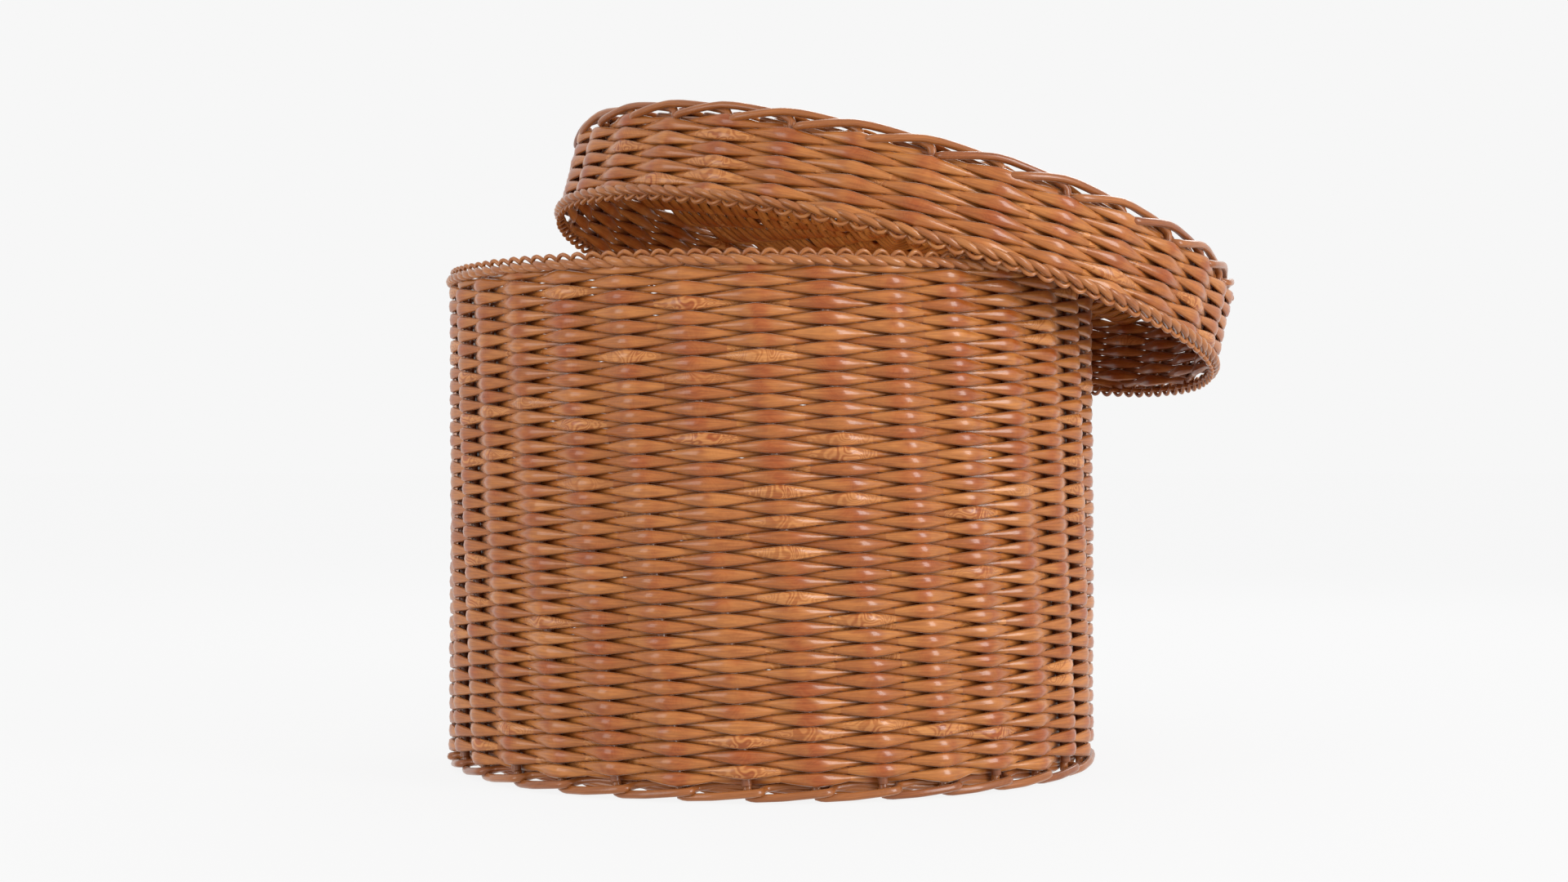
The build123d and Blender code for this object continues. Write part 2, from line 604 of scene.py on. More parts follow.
@dataclass
class DiscRows(Tubes):
    """Closed rows of a flat disc, each over one spoke and under the next.

    Attributes:
        disc: the disc that they belong to.
        first: radius of the innermost row.
        pitch: distance from row to row.
        spokes: how many spokes they are woven on.
    """

    disc: "WovenDisc"
    first: float
    pitch: float
    spokes: int

    def path(self, index: Array, along: Array) -> Array:
        """From side to side of the spokes, a little uneven in radius."""
        disc, lattice = self.disc, self.disc.lattice
        place = along * self.spokes
        side = disc.weaver.wave(place + index)
        uneven = drift(np.mod(place, self.spokes) * 2, index, Draw.SAG) * disc.uneven_radius
        angle = np.radians(lattice.first_angle + along * 360)
        height = lattice.twist_height + side * disc.weaver.swing
        return round_the_axis(angle, self.first + index * self.pitch + uneven, height, lattice.seat)

    def size(self, index: Array, along: Array) -> Array:
        """Wide enough over a spoke to hide the rows beside it."""
        weaver = self.disc.weaver
        swell = weaver.swell(along * self.spokes)
        wide = weaver.cross_height + (2 * self.pitch - weaver.cross_height) * swell
        return np.stack([weaver.depth(swell) / 2, wide / 2], 1)

    def out(self, index: Array, along: Array) -> Array:
        """Up from the disc."""
        zero = 0 * along
        return turned(np.stack([zero, zero, zero + 1], 1), self.disc.lattice.seat)

    def marks(self, index: Array, along: Array) -> Array:
        """A tone and a seed for each bump, and the bend over its spoke."""
        place = along * self.spokes
        nearest = np.mod(np.round(place), self.spokes)
        tone = 0.6 * hash01(index, nearest, Draw.DISC_TONE)
        tone = tone + 0.3 * hash01(index, Draw.DISC_ROW_TONE)
        swell = self.disc.weaver.swell(place)
        return np.stack([tone, swell, hash01(index, nearest, Draw.DISC_FIGURE)], 1)


@dataclass
class WovenDisc:
    """A flat woven disc, made as three rings.

    Attributes:
        lattice: its seat, with the height of its middle as twist_height.
        radius: its outer radius.
        body: the body that it rides on.
        weaver: the rod that it is woven with.
        pitch: distance from row to row, before it is evened out over a ring.
        uneven_radius: most that a row wanders in radius.
        inner_edges: radii at which the inner, middle and outer rings start.
        spokes: how many spokes each ring is woven on.
        sections_per_spoke: steps along a row between two spokes.
        sides: faces round a row.
    """

    lattice: Lattice
    radius: float
    body: str
    weaver: Weaver = Weaver(4.2 * MM, peak_depth=3.6 * MM, cross_depth=2.6 * MM)
    pitch: float = ROW_PITCH
    uneven_radius: float = 0.2 * MM
    inner_edges: tuple[float, float, float] = (22 * MM, 62 * MM, 124 * MM)
    spokes: tuple[int, int, int] = (STAKES // 2, STAKES, STAKES)
    sections_per_spoke: int = 8
    sides: int = 8

    def weave(self, name: str, node: str) -> None:
        """Weave the rings from the middle outwards, each as one piece.

        Args:
            name: start of the pieces' names.
            node: start of the names of the CAD nodes that they stand for.
        """
        edges = (*self.inner_edges, self.radius)
        for part, inner, outer, spokes in zip(
            ("inner", "middle", "outer"), edges, edges[1:], self.spokes
        ):
            piece = self._ring(inner, outer, spokes).make_piece(f"{name}_{part}_rows")
            dress(piece, self.body, DISC_FINISH, f"{node}_{part}")

    def _ring(self, inner: float, outer: float, spokes: int) -> DiscRows:
        """The rows between two radii.

        Args:
            inner: radius at which the first row starts.
            outer: radius at which the last row ends.
            spokes: how many spokes they are woven on.

        Returns:
            The rows, evenly spaced.
        """
        rows = round((outer - inner) / self.pitch)
        pitch = (outer - inner) / rows
        length = math.tau * (inner + outer) / 2
        sections = spokes * self.sections_per_spoke
        first = inner + pitch / 2
        return DiscRows(rows, sections, self.sides, True, length, self, first, pitch, spokes)


# ---------------------------------------------------------------- plaits
PLAIT_WAVE: RoutePoints = (
    (0.0, 0.3, 4.0, 1.2),
    (0.22, -0.1, 3.2, 1.15),
    (0.42, -1.3, 1.3, 1.15),
    (0.6, -1.7, 0.2, 1.3),
    (0.85, -0.2, 0.1, 1.65),
    (1.1, 1.4, -0.5, 1.95),
    (1.5, 2.3, -1.6, 2.15),
    (1.95, 2.0, -2.7, 2.0),
    (2.25, 0.8, -3.3, 1.6),
    (2.42, -0.9, -2.8, 1.2),
    (2.52, -1.4, -1.0, 1.1),
    (2.62, -0.2, 1.3, 1.15),
    (2.78, 0.5, 3.2, 1.2),
)


@dataclass
class PlaitStrands(Tubes):
    """The strands of a plait, each one loop behind the last.

    Attributes:
        plait: the plait that they belong to.
        route: one wave of a strand.
    """

    plait: "Plait"
    route: Route

    def _angle(self, index: Array, along: Array) -> Array:
        """Angle round the edge's axis."""
        place = self.route.at(along * self.plait.waves)[:, 0]
        return self.plait.side.value * (place + index) * math.tau / self.plait.loops

    def _loop(self, along: Array) -> Array:
        """Place counted in loops, for the strand's unevenness."""
        return np.mod(along, 1.0) * self.plait.loops

    def path(self, index: Array, along: Array) -> Array:
        """Over the top of the edge, down its face and back under its neighbours."""
        plait = self.plait
        _, outwards, height, _ = self.route.at(along * plait.waves).T
        uneven = plait.uneven_height * drift(self._loop(along), index, Draw.PLAIT_HEIGHT)
        height = plait.height + plait.side.value * (height + uneven)
        angle = self._angle(index, along)
        return round_the_axis(angle, plait.circle + outwards, height, plait.seat)

    def size(self, index: Array, along: Array) -> Array:
        """Fat on the face of the plait and thin where a strand dives."""
        uneven = drift(self._loop(along), index, Draw.PLAIT_THICKNESS)
        uneven = 1 + self.plait.uneven_thickness * uneven
        radius = self.route.at(along * self.plait.waves)[:, 3] * uneven
        return np.stack([radius, radius], 1)

    def out(self, index: Array, along: Array) -> Array:
        """Away from the edge's axis."""
        return away_from_axis(self._angle(index, along), self.plait.seat)

    def marks(self, index: Array, along: Array) -> Array:
        """A tone and a seed for each loop."""
        wave = np.floor(along * self.plait.waves)
        tone = 0.2 + 0.5 * hash01(wave, index, Draw.PLAIT_TONE)
        seed = 0.85 * hash01(wave, index, Draw.PLAIT_FIGURE)
        return np.stack([tone, 0.3 + 0 * along, seed], 1)


@dataclass
class Plait:
    """A plait of three strands along an open edge.

    Attributes:
        seat: where the edge's axis and reference height are.
        circle: radius of the plait's middle.
        height: height of its middle above the seat.
        side: upright, or upside down on a lid.
        body: the body that it rides on.
        loops: number of loops seen round the edge.
        strands: number of strands.
        rounding: how far along a strand its corners are smoothed.
        uneven_height: most that a loop stands too high or too low.
        uneven_thickness: share by which a strand's thickness wanders.
        sections_per_wave: steps along one wave of a strand.
        sides: faces round a strand.
    """

    seat: Matrix
    circle: float
    height: float
    side: Side
    body: str
    loops: int = PLAIT_LOOPS
    strands: int = 3
    rounding: float = 1.6 * MM
    uneven_height: float = 0.2 * MM
    uneven_thickness: float = 0.07
    sections_per_wave: int = 30
    sides: int = 8

    @property
    def waves(self) -> int:
        """How many waves a strand makes on its way round."""
        return self.loops // self.strands

    def build(self, node: str) -> None:
        """Plait the strands as one piece that stands for a CAD node.

        Args:
            node: the CAD node, whose name with "_strands" is the piece's name.
        """
        length = math.tau * self.circle
        route = Route(PLAIT_WAVE, length / self.loops, self.strands, self.rounding)
        sections = self.waves * self.sections_per_wave
        tubes = PlaitStrands(self.strands, sections, self.sides, True, length, self, route)
        dress(tubes.make_piece(f"{node}_strands"), self.body, BRAID_FINISH, node)


# ---------------------------------------------------------------- borders
FOOT_ROD: RoutePoints = (
    (0.0, 0.0, 12.0, 2.5),
    (0.0, -0.2, 6.5, 2.4),
    (-0.04, 0.0, 3.4, 2.3),
    (0.08, 1.2, 2.5, 2.3),
    (0.5, 4.4, 3.5, 2.3),
    (1.0, 5.7, 5.4, 2.3),
    (1.14, 5.6, 6.0, 2.3),
    (1.2, 3.8, 6.3, 2.3),
    (1.21, 0.5, 6.5, 2.2),
    (1.26, -2.8, 7.4, 2.1),
    (1.6, -5.2, 8.8, 2.0),
    (2.2, -5.4, 7.6, 2.0),
    (2.9, -5.2, 5.4, 2.0),
    (3.5, -5.2, 8.4, 1.8),
)
LID_ROD: RoutePoints = (
    (1.0, 0.0, 44.0, 2.5),
    (1.0, 0.0, 48.8, 2.5),
    (0.96, -0.5, 51.6, 2.4),
    (0.8, -1.2, 53.6, 2.2),
    (0.58, -1.1, 54.7, 2.15),
    (0.32, -0.1, 55.2, 2.15),
    (0.08, 1.3, 55.4, 2.15),
    (-0.14, 2.4, 54.8, 2.15),
    (-0.38, 3.7, 52.6, 2.15),
    (-0.64, 4.7, 49.6, 2.15),
    (-0.82, 4.8, 47.7, 2.15),
    (-0.9, 3.6, 46.9, 2.15),
    (-0.92, 0.8, 46.9, 2.1),
    (-0.98, -2.6, 47.6, 2.1),
    (-1.2, -4.6, 49.0, 2.0),
    (-1.6, -5.2, 51.0, 1.7),
)


@dataclass
class BorderRods(Tubes):
    """The rods of a border, one from each stake.

    Attributes:
        lattice: the stakes that they belong to.
        route: the way that each one goes.
        uneven_height: most that a rod wanders in height.
        uneven_thickness: share by which its thickness wanders.
        tip: share of its length over which an end is rounded.
        blunt: thickness left at the very end, as a share.
        roll: how far its section leans back from upright.
    """

    lattice: Lattice
    route: Route
    uneven_height: float = 0.25 * MM
    uneven_thickness: float = 0.05
    tip: float = 0.03
    blunt: float = 0.12
    roll: float = 0.35

    def path(self, index: Array, along: Array) -> Array:
        """Along its route from its own stake."""
        lattice = self.lattice
        place, outwards, height, _ = self.route.at(along).T
        uneven = self.uneven_height * drift(along * 4, index, Draw.BORDER_HEIGHT)
        height = height + uneven * np.sin(math.pi * along)
        angle = lattice.stake_angle(index + place, height)
        return round_the_axis(angle, lattice.circle + outwards, height, lattice.seat)

    def size(self, index: Array, along: Array) -> Array:
        """The route's thickness, rounded off at both ends."""
        tip = np.clip(np.minimum(along, 1 - along) / self.tip, 0, 1)
        radius = self.route.at(along)[:, 3]
        radius = radius * (self.blunt + (1 - self.blunt) * np.sqrt(1 - (1 - tip) ** 2))
        radius *= 1 + self.uneven_thickness * drift(along * 5, index, Draw.BORDER_THICKNESS)
        return np.stack([radius, radius], 1)

    def out(self, index: Array, along: Array) -> Array:
        """Away from the axis and a little upwards."""
        angle = self.lattice.stake_angle(index + self.route.at(along)[:, 0], 0 * along)
        return away_from_axis(angle, self.lattice.seat, self.roll)

    def marks(self, index: Array, along: Array) -> Array:
        """One tone and one seed for each rod."""
        flat = 0 * along
        tone = 0.2 + 0.6 * hash01(index, Draw.BORDER_TONE)
        seed = 0.9 * hash01(index, Draw.BORDER_FIGURE)
        return np.stack([tone + flat, 0.25 + flat, seed], 1)


@dataclass
class Border:
    """Rods turned along an edge, each passing its neighbours in the same way.

    Attributes:
        lattice: the stakes that the rods belong to.
        points: the points that a rod passes, as a route.
        body: the body that it rides on.
        sections: steps along a rod.
        sides: faces round a rod.
    """

    lattice: Lattice
    points: RoutePoints
    body: str
    sections: int = 60
    sides: int = 10

    def build(self, node: str) -> None:
        """Lay the rods as one piece that stands for a CAD node.

        Args:
            node: the CAD node, whose name with "_rods" is the piece's name.
        """
        lattice = self.lattice
        spacing = math.tau * lattice.circle / lattice.stakes
        route = Route(self.points, spacing)
        tubes = BorderRods(
            lattice.stakes, self.sections, self.sides, False, 2 * spacing, lattice, route
        )
        dress(tubes.make_piece(f"{node}_rods"), self.body, ROD_FINISH, node)


# ---------------------------------------------------------------- finishes
class Nodes:
    """A node tree with the kinds of node that the finishes use. A socket is a node and a name."""

    def __init__(self, tree: bpy.types.NodeTree) -> None:
        """Work on a tree."""
        self.tree = tree

    def new(self, kind: str) -> bpy.types.Node:
        """A new shader node."""
        return self.tree.nodes.new(f"ShaderNode{kind}")

    def feed(self, socket: bpy.types.NodeSocket, value: Socket | float | tuple) -> None:
        """Link an input to an output socket, or set it to a constant.

        Args:
            socket: the input.
            value: an output socket, a number or a colour.
        """
        if isinstance(value, tuple) and isinstance(value[0], bpy.types.Node):
            self.tree.links.new(value[0].outputs[value[1]], socket)
        else:
            socket.default_value = value

    def arithmetic(self, how: str, *values: Socket | float, clamp: bool = False) -> Socket:
        """A Math node.

        Args:
            how: the node's operation.
            values: its inputs, as numbers or output sockets.
            clamp: whether the result is held between 0 and 1.

        Returns:
            Its output.
        """
        node = self.new("Math")
        node.operation = how
        node.use_clamp = clamp
        for socket, value in zip(node.inputs, values):
            self.feed(socket, value)
        return node, "Value"

    def blend(
        self, share: Socket | float, first: Socket | tuple, second: Socket | tuple, how: str = "MIX"
    ) -> Socket:
        """A mix of two colours.

        Args:
            share: how much of the second there is.
            first: the first colour.
            second: the second colour.
            how: the node's way of blending.

        Returns:
            Its output.
        """
        node = self.new("Mix")
        node.data_type = "RGBA"
        node.blend_type = how
        node.clamp_factor = True
        sockets = {socket.identifier: socket for socket in node.inputs}
        self.feed(sockets["Factor_Float"], share)
        self.feed(sockets["A_Color"], first)
        self.feed(sockets["B_Color"], second)
        return node, "Result"

    def noise(self, place: Socket, stretch: Point, detail: float, swirl: float = 0.0) -> Socket:
        """A noise texture.

        Args:
            place: where it is read.
            stretch: its scale along the rod, round it and from seed to seed.
            detail: its detail.
            swirl: its distortion.

        Returns:
            Its output, from 0 to 1.
        """
        mapping = self.new("Mapping")
        mapping.inputs["Scale"].default_value = stretch
        self.feed(mapping.inputs["Vector"], place)
        node = self.new("TexNoise")
        node.inputs["Scale"].default_value = 1.0
        node.inputs["Detail"].default_value = detail
        node.inputs["Distortion"].default_value = swirl
        self.feed(node.inputs["Vector"], (mapping, "Vector"))
        return node, "Fac"

    def between(self, value: Socket, low: float, high: float) -> Socket:
        """Stretch a value so that low becomes 0 and high becomes 1, held between them.

        Args:
            value: the value.
            low: where 0 is.
            high: where 1 is.

        Returns:
            The stretched value.
        """
        node = self.new("MapRange")
        node.interpolation_type = "SMOOTHSTEP"
        node.inputs["From Min"].default_value = low
        node.inputs["From Max"].default_value = high
        self.feed(node.inputs["Value"], value)
        return node, "Result"


@dataclass(frozen=True)
class RodGrain:
    """Grain of a varnished rod, as a node group that every finish uses.

    Attributes:
        name: the group's name.
        knuckle: colour of the patches where a rod bends over a stake.
        curl: colour of the lines of curly figure.
        dark_fibre: what the base colour is multiplied by in dark fibres.
        pale_fibre: what it is multiplied by in pale fibres.
        curl_lines: number of lines in a swirl of figure, in radians of wave.
        figured_from: seed from which a bump starts to show figure.
        figured_fully: seed from which it shows it fully.
    """

    name: str = "rod_grain"
    knuckle: Colour = (0.27, 0.052, 0.006)
    curl: Colour = (0.56, 0.235, 0.07)
    dark_fibre: Colour = (0.74, 0.7, 0.66)
    pale_fibre: Colour = (1.08, 1.08, 1.06)
    curl_lines: float = 75.0
    figured_from: float = 0.9
    figured_fully: float = 0.93

    def group(self) -> bpy.types.ShaderNodeTree:
        """The node group, made once. It gives colour, roughness and height."""
        made = bpy.data.node_groups.get(self.name)
        if made:
            return made
        tree = self._empty()
        nodes = Nodes(tree)
        start, end = tree.nodes["in"], tree.nodes["out"]
        offset = nodes.new("CombineXYZ")
        nodes.feed(offset.inputs["Z"], (start, "Seed"))
        shift = nodes.new("VectorMath")
        nodes.feed(shift.inputs[0], (start, "Strand"))
        nodes.feed(shift.inputs[1], (offset, "Vector"))
        place = (shift, "Vector")
        fine = nodes.noise(place, (90, 22, 9), 3.0)
        streak = nodes.noise(place, (32, 7, 13), 2.0, 0.4)
        curl = self._curl(nodes, place, start)

        tone = nodes.arithmetic("MULTIPLY_ADD", streak, 0.6, -0.3)
        tone = nodes.arithmetic("ADD", (start, "Tone"), tone, clamp=True)
        base = nodes.blend(tone, (start, "Honey"), (start, "Red"))
        base = nodes.blend(self._bend(nodes, place, start), base, (*self.knuckle, 1))
        base = nodes.blend(curl, base, (*self.curl, 1))
        fibres = nodes.between(fine, 0.3, 0.7)
        shade = nodes.blend(fibres, (*self.dark_fibre, 1), (*self.pale_fibre, 1))
        nodes.feed(end.inputs["Color"], nodes.blend(0.85, base, shade, "MULTIPLY"))
        nodes.feed(end.inputs["Roughness"], nodes.arithmetic("MULTIPLY_ADD", fine, 0.2, 0.22))
        nodes.feed(end.inputs["Height"], nodes.arithmetic("MULTIPLY_ADD", curl, 0.5, fine))
        return tree

    def _empty(self) -> bpy.types.ShaderNodeTree:
        """The group with its sockets, and its input and output nodes named "in" and "out"."""
        tree = bpy.data.node_groups.new(self.name, "ShaderNodeTree")
        inputs = {
            "Strand": "Vector",
            "Tone": "Float",
            "Bend": "Float",
            "Seed": "Float",
            "Figure": "Float",
            "Honey": "Color",
            "Red": "Color",
        }
        for label, kind in inputs.items():
            tree.interface.new_socket(label, in_out="INPUT", socket_type=f"NodeSocket{kind}")
        for label, kind in {"Color": "Color", "Roughness": "Float", "Height": "Float"}.items():
            tree.interface.new_socket(label, in_out="OUTPUT", socket_type=f"NodeSocket{kind}")
        tree.nodes.new("NodeGroupInput").name = "in"
        tree.nodes.new("NodeGroupOutput").name = "out"
        return tree

    def _bend(self, nodes: Nodes, place: Socket, start: bpy.types.Node) -> Socket:
        """Mask of the patches of deeper colour where a rod bends.

        Args:
            nodes: the group's nodes.
            place: where patterns are read.
            start: the group's input node.

        Returns:
            The mask.
        """
        patch = nodes.between(nodes.noise(place, (60, 1.4, 17), 2.0, 0.3), 0.34, 0.66)
        bend = nodes.between((start, "Bend"), 0.35, 1.0)
        return nodes.arithmetic("MULTIPLY", nodes.arithmetic("MULTIPLY", bend, patch), 0.85)

    def _curl(self, nodes: Nodes, place: Socket, start: bpy.types.Node) -> Socket:
        """Mask of the curly figure, strong on a few bumps and very faint on the rest.

        Args:
            nodes: the group's nodes.
            place: where patterns are read.
            start: the group's input node.

        Returns:
            The mask.
        """
        swirl = nodes.noise(place, (75, 1.6, 5), 1.0, 0.8)
        lines = nodes.arithmetic("SINE", nodes.arithmetic("MULTIPLY", swirl, self.curl_lines))
        lines = nodes.between(lines, -0.9, 0.9)
        chosen = nodes.between((start, "Seed"), self.figured_from, self.figured_fully)
        mask = nodes.arithmetic("MULTIPLY", chosen, (start, "Figure"))
        mask = nodes.arithmetic("ADD", mask, 0.07, clamp=True)
        return nodes.arithmetic("MULTIPLY", lines, mask)


@dataclass(frozen=True)
class VarnishedRod:
    """Varnished rod, with grain along it and patches of tone.

    Attributes:
        name: the material's name.
        honey: its lightest colour.
        red: its darkest colour.
        coat: weight of the varnish.
        figure: how strongly curly figure shows.
        shine: strength of the reflections of the rod itself.
        sheen: weight of the pale sheen towards the rod's outline.
        sheen_tint: colour of that sheen.
    """

    name: str
    honey: Colour
    red: Colour
    coat: float = 0.32
    figure: float = 0.6
    shine: float = 0.26
    sheen: float = 0.28
    sheen_tint: Colour = (0.95, 0.80, 0.70)

    def material(self) -> bpy.types.Material:
        """The finish as a material, made once."""
        made = bpy.data.materials.get(self.name)
        if made:
            return made
        material = bpy.data.materials.new(self.name)
        material.use_nodes = True
        nodes = Nodes(material.node_tree)
        shader = material.node_tree.nodes["Principled BSDF"]
        constants = {
            "IOR": 1.5,
            "Specular IOR Level": self.shine,
            "Coat Weight": self.coat,
            "Coat Roughness": 0.12,
            "Sheen Weight": self.sheen,
            "Sheen Roughness": 0.25,
            "Sheen Tint": (*self.sheen_tint, 1),
        }
        for label, value in constants.items():
            shader.inputs[label].default_value = value
        grain = nodes.new("Group")
        grain.node_tree = RodGrain().group()
        grain.inputs["Honey"].default_value = (*self.honey, 1)
        grain.inputs["Red"].default_value = (*self.red, 1)
        grain.inputs["Figure"].default_value = self.figure
        self._read_marks(nodes, grain)
        nodes.feed(shader.inputs["Base Color"], (grain, "Color"))
        nodes.feed(shader.inputs["Roughness"], (grain, "Roughness"))
        bump = nodes.new("Bump")
        bump.inputs["Strength"].default_value = 0.25
        bump.inputs["Distance"].default_value = 0.3 * MM
        nodes.feed(bump.inputs["Height"], (grain, "Height"))
        nodes.feed(shader.inputs["Normal"], (bump, "Normal"))
        return material

    def _read_marks(self, nodes: Nodes, grain: bpy.types.Node) -> None:
        """Feed the grain from the piece's own UV map and colour attribute.

        Args:
            nodes: the material's nodes.
            grain: the grain's group node.
        """
        strand = nodes.new("UVMap")
        strand.uv_map = "strand"
        nodes.feed(grain.inputs["Strand"], (strand, "UV"))
        cane = nodes.new("Attribute")
        cane.attribute_name = "cane"
        split = nodes.new("SeparateColor")
        nodes.feed(split.inputs["Color"], (cane, "Color"))
        for channel, label in (("Red", "Tone"), ("Green", "Bend"), ("Blue", "Seed")):
            nodes.feed(grain.inputs[label], (split, channel))


@dataclass(frozen=True)
class StraightRod(VarnishedRod):
    """The same rod on a CAD node, whose grain reads Object coordinates."""

    def _read_marks(self, nodes: Nodes, grain: bpy.types.Node) -> None:
        """Feed the grain from Object coordinates.

        Args:
            nodes: the material's nodes.
            grain: the grain's group node.
        """
        turn = nodes.new("Mapping")
        turn.inputs["Rotation"].default_value = (0, math.pi / 2, 0)
        turn.inputs["Scale"].default_value = (1, 12, 12)
        nodes.feed(turn.inputs["Vector"], (nodes.new("TexCoord"), "Object"))
        nodes.feed(grain.inputs["Strand"], (turn, "Vector"))
        for label, value in {"Tone": 0.55, "Bend": 0.0, "Seed": 0.5}.items():
            grain.inputs[label].default_value = value


WEAVER_HONEY, WEAVER_RED = (0.43, 0.157, 0.036), (0.27, 0.068, 0.010)
DISC_HONEY = (0.45, 0.165, 0.034)
WEAVER_FINISH = VarnishedRod("varnished_weaver", WEAVER_HONEY, WEAVER_RED)
DISC_FINISH = VarnishedRod(
    "varnished_disc", DISC_HONEY, WEAVER_RED, coat=0.03, shine=0.06, sheen=0.0
)
BRAID_FINISH = VarnishedRod(
    "varnished_braid", (0.40, 0.15, 0.038), (0.23, 0.062, 0.016), figure=0.1
)
ROD_FINISH = VarnishedRod(
    "varnished_border_rod", (0.34, 0.115, 0.028), (0.18, 0.044, 0.012), figure=0.3
)
STAKE_FINISH = StraightRod(
    "varnished_stake", (0.26, 0.085, 0.03), (0.16, 0.045, 0.016), figure=0.0
)


def dress(piece: bpy.types.Object, body: str, finish: VarnishedRod, node: str) -> None:
    """Give a piece its finish and its body, and let it stand for a CAD node.

    Args:
        piece: the finished mesh.
        body: the body that it rides on.
        finish: its finish.
        node: the CAD node that it stands for.
    """
    piece.data.materials.append(finish.material())
    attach(piece, body)
    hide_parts(node)
    log.info("%s: %d faces, for %s", piece.name, len(piece.data.polygons), node)


# ---------------------------------------------------------------- the two bodies
@dataclass
class Basket:
    """The basket: base, wall, foot border and rim plait.

    Attributes:
        body: its name in the record.
        rows_in_band: rows of weaving in each band, from the foot up.
        tucked_row: the row that sits behind the rim plait.
        first_row_height: middle of the lowest row.
        stake_circle: radius of the circle of stakes.
        twist: how far the stakes turn for each metre of height, in degrees.
        twist_height: height at which they have their first angle.
        wall_swing: how far a weaver's middle stands out from the circle of stakes.
        base_height: middle of the base.
        base_radius: its outer radius.
        base_circle: nominal circle of its spokes.
        rim_circle: radius of the rim plait's middle.
        rim_height: height of the rim plait's middle.
    """

    body: str = "basket"
    rows_in_band: tuple[int, ...] = (6, 7, 7, 7, 7, 7, 7, 7, 7, 7)
    tucked_row: int = 68
    first_row_height: float = 12.9 * MM
    stake_circle: float = 0.1928
    twist: float = 37.54
    twist_height: float = 0.1518
    wall_swing: float = 4.9 * MM
    base_height: float = 8.5 * MM
    base_radius: float = 186 * MM
    base_circle: float = 0.1
    rim_circle: float = 0.1975
    rim_height: float = 298.5 * MM

    def build(self) -> None:
        """Weave the basket from the base up."""
        seat = Matrix.Identity(4)
        base = Lattice(seat, self.base_circle, twist_height=self.base_height)
        WovenDisc(base, self.base_radius, self.body).weave("base_weave", "base_weave")
        stakes = Lattice(seat, self.stake_circle, self.twist, self.twist_height)
        weaver = Weaver(self.wall_swing)
        wall = WovenWall(stakes, weaver, self.first_row_height, self.body, self.tucked_row)
        row = 0
        for number, rows in enumerate(self.rows_in_band, start=1):
            wall.band(f"side_weave_{number:02d}", row, rows)
            row += rows
        Border(stakes, FOOT_ROD, self.body).build("foot_border")
        rim = Plait(seat, self.rim_circle, self.rim_height, Side.UPRIGHT, self.body)
        rim.build("rim_braid")


@dataclass
class Lid:
    """The cap lid, woven like the basket and set down askew on its rim.

    Attributes:
        body: its name in the record.
        seat_centre: middle of its rim plait.
        tilt_sideways: its turn about the Y axis, in degrees.
        tilt_backwards: its turn about the X axis, in degrees.
        rows_in_band: rows of weaving in each band, from its open edge up.
        first_row_height: middle of the lowest row above the seat.
        stake_circle: radius of the circle of stakes.
        panel_height: middle of the panel above the seat.
        panel_radius: its outer radius.
        panel_circle: nominal circle of its spokes.
        rim_circle: radius of the rim plait's middle.
    """

    body: str = "lid"
    seat_centre: Point = (0.0711, 0.0315, 0.2898)
    tilt_sideways: float = 13.72
    tilt_backwards: float = -6.54
    rows_in_band: tuple[int, ...] = (5, 6)
    first_row_height: float = 4.5 * MM
    stake_circle: float = 0.2085
    panel_height: float = 49.6 * MM
    panel_radius: float = 203 * MM
    panel_circle: float = 0.1
    rim_circle: float = 0.2120

    def seat(self) -> Matrix:
        """The lid's own axes: origin in the middle of its rim plait, Z along its axis."""
        back = Matrix.Rotation(math.radians(self.tilt_backwards), 4, "X")
        sideways = Matrix.Rotation(math.radians(self.tilt_sideways), 4, "Y")
        return Matrix.Translation(Vector(self.seat_centre)) @ back @ sideways

    def build(self) -> None:
        """Weave the lid's panel, then its wall, border and plait."""
        seat = self.seat()
        panel = Lattice(seat, self.panel_circle, twist_height=self.panel_height)
        WovenDisc(panel, self.panel_radius, self.body).weave("lid_panel", "lid_panel_weave")
        stakes = Lattice(seat, self.stake_circle, parity=1)
        weaver = Weaver(4.1 * MM, cross_height=3.8 * MM, peak_depth=3.8 * MM)
        wall = WovenWall(stakes, weaver, self.first_row_height, self.body)
        row = 0
        for number, rows in enumerate(self.rows_in_band, start=1):
            wall.band(f"lid_side_weave_{number:02d}", row, rows)
            row += rows
        Border(stakes, LID_ROD, self.body).build("lid_top_border")
        Plait(seat, self.rim_circle, 0.0, Side.UPSIDE_DOWN, self.body).build("lid_rim_braid")


def dress_cad_rods() -> None:
    """Give the straight rods that stay as CAD nodes their finish."""
    for name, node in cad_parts.items():
        if name.endswith("stakes") or "spokes" in name or "slath" in name:
            node.data.materials.clear()
            node.data.materials.append(STAKE_FINISH.material())
            log.info("%s keeps its CAD shape", name)


# ---------------------------------------------------------------- the studio
@dataclass(frozen=True)
class SoftLight:
    """A soft rectangular light that faces the basket.

    Attributes:
        name: its name.
        place: where it stands.
        width: its width.
        height: its height.
        power: its power in watts.
        aim: the point that it faces.
    """

    name: str
    place: Point
    width: float
    height: float
    power: float
    aim: Point = (0, 0, 0.18)

    def build(self) -> None:
        """Set the light up."""
        data = bpy.data.lights.new(self.name, "AREA")
        data.shape = "RECTANGLE"
        data.size, data.size_y = self.width, self.height
        data.energy = self.power
        light = bpy.data.objects.new(self.name, data)
        light.location = self.place
        way = Vector(self.aim) - Vector(self.place)
        light.rotation_euler = way.to_track_quat("-Z", "Y").to_euler()
        bpy.context.scene.collection.objects.link(light)


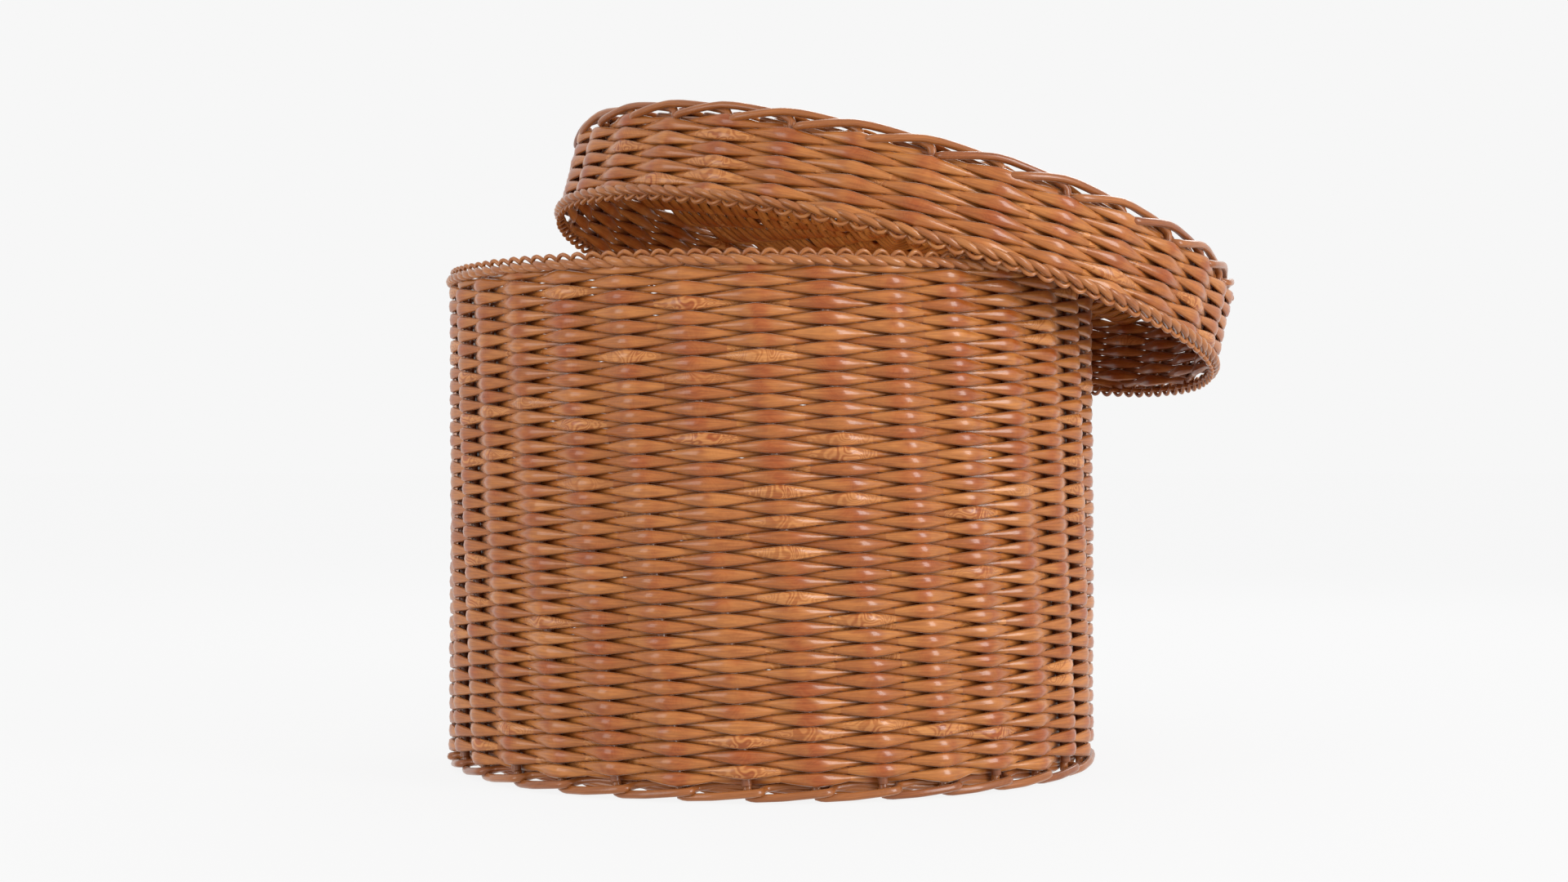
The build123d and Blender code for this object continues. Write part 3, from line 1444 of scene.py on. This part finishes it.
@dataclass
class Studio:
    """Pale floor, soft lights and the camera.

    Attributes:
        lights: the lights outside the basket.
        glow_place: where the light inside the basket is.
        glow_power: its power in watts.
        glow_radius: its radius.
        surroundings: brightness of the surroundings.
        floor_size: half the floor's width.
        floor_colour: brightness of the floor's own surface.
        floor_light: brightness that the floor gives off.
        distance: how far the camera stands in front of the basket's axis.
        eye_height: height of the camera.
        aside: how far the camera stands to the right.
        focal_length: the camera's focal length in mm.
        look_up: how far it looks up, in degrees.
    """

    lights: tuple[SoftLight, ...] = (
        SoftLight("key", (1.45, -1.05, 0.7), 0.6, 1.4, 26),
        SoftLight("fill", (-1.6, -1.2, 0.6), 0.9, 1.4, 14),
        SoftLight("back", (0.6, 1.5, 1.4), 1.4, 0.8, 14),
    )
    glow_place: Point = (0.02, 0.0, 0.2)
    glow_power: float = 0.7
    glow_radius: float = 0.08
    surroundings: float = 0.93
    floor_size: float = 30
    floor_colour: float = 0.05
    floor_light: float = 0.88
    distance: float = 1.538
    eye_height: float = 0.1884
    aside: float = 0.0077
    focal_length: float = 56.48
    look_up: float = 0.4

    def build(self) -> None:
        """Set the stage and point the camera."""
        self._floor()
        self._world()
        for light in self.lights:
            light.build()
        self._glow()
        self._camera()

    def _floor(self) -> None:
        """A wide pale floor."""
        bm = bmesh.new()
        bmesh.ops.create_grid(bm, x_segments=1, y_segments=1, size=self.floor_size)
        mesh = bpy.data.meshes.new("floor")
        bm.to_mesh(mesh)
        bm.free()
        floor = bpy.data.objects.new("floor", mesh)
        material = bpy.data.materials.new("pale_floor")
        material.use_nodes = True
        shader = material.node_tree.nodes["Principled BSDF"]
        shader.inputs["Base Color"].default_value = (*[self.floor_colour] * 3, 1)
        shader.inputs["Emission Color"].default_value = (1, 1, 1, 1)
        shader.inputs["Emission Strength"].default_value = self.floor_light
        shader.inputs["Roughness"].default_value = 1.0
        shader.inputs["Specular IOR Level"].default_value = 0.0
        mesh.materials.append(material)
        bpy.context.scene.collection.objects.link(floor)

    def _world(self) -> None:
        """Even, near-white surroundings."""
        world = bpy.data.worlds.new("studio")
        world.use_nodes = True
        background = world.node_tree.nodes["Background"]
        background.inputs["Color"].default_value = (1, 1, 1, 1)
        background.inputs["Strength"].default_value = self.surroundings
        bpy.context.scene.world = world

    def _glow(self) -> None:
        """A faint round light that stands for light bounced about inside the basket."""
        data = bpy.data.lights.new("glow", "POINT")
        data.energy = self.glow_power
        data.shadow_soft_size = self.glow_radius
        light = bpy.data.objects.new("glow", data)
        light.location = self.glow_place
        light.visible_camera = False
        light.visible_glossy = False
        bpy.context.scene.collection.objects.link(light)

    def _camera(self) -> None:
        """The camera, a little below the basket's middle and in front of it."""
        data = bpy.data.cameras.new("camera")
        data.lens = self.focal_length
        data.sensor_width = 36
        data.clip_start = 0.05
        data.dof.use_dof = False
        camera = bpy.data.objects.new("camera", data)
        camera.location = (self.aside, -self.distance, self.eye_height)
        camera.rotation_euler = (math.radians(90 + self.look_up), 0, 0)
        bpy.context.scene.collection.objects.link(camera)
        bpy.context.scene.camera = camera


def main() -> None:
    """Build the basket, its lid and the studio."""
    Studio().build()
    Basket().build()
    Lid().build()
    dress_cad_rods()
    bpy.context.scene.view_settings.view_transform = "Standard"
    log.info("sizes written")


if __name__ == "__main__":
    main()
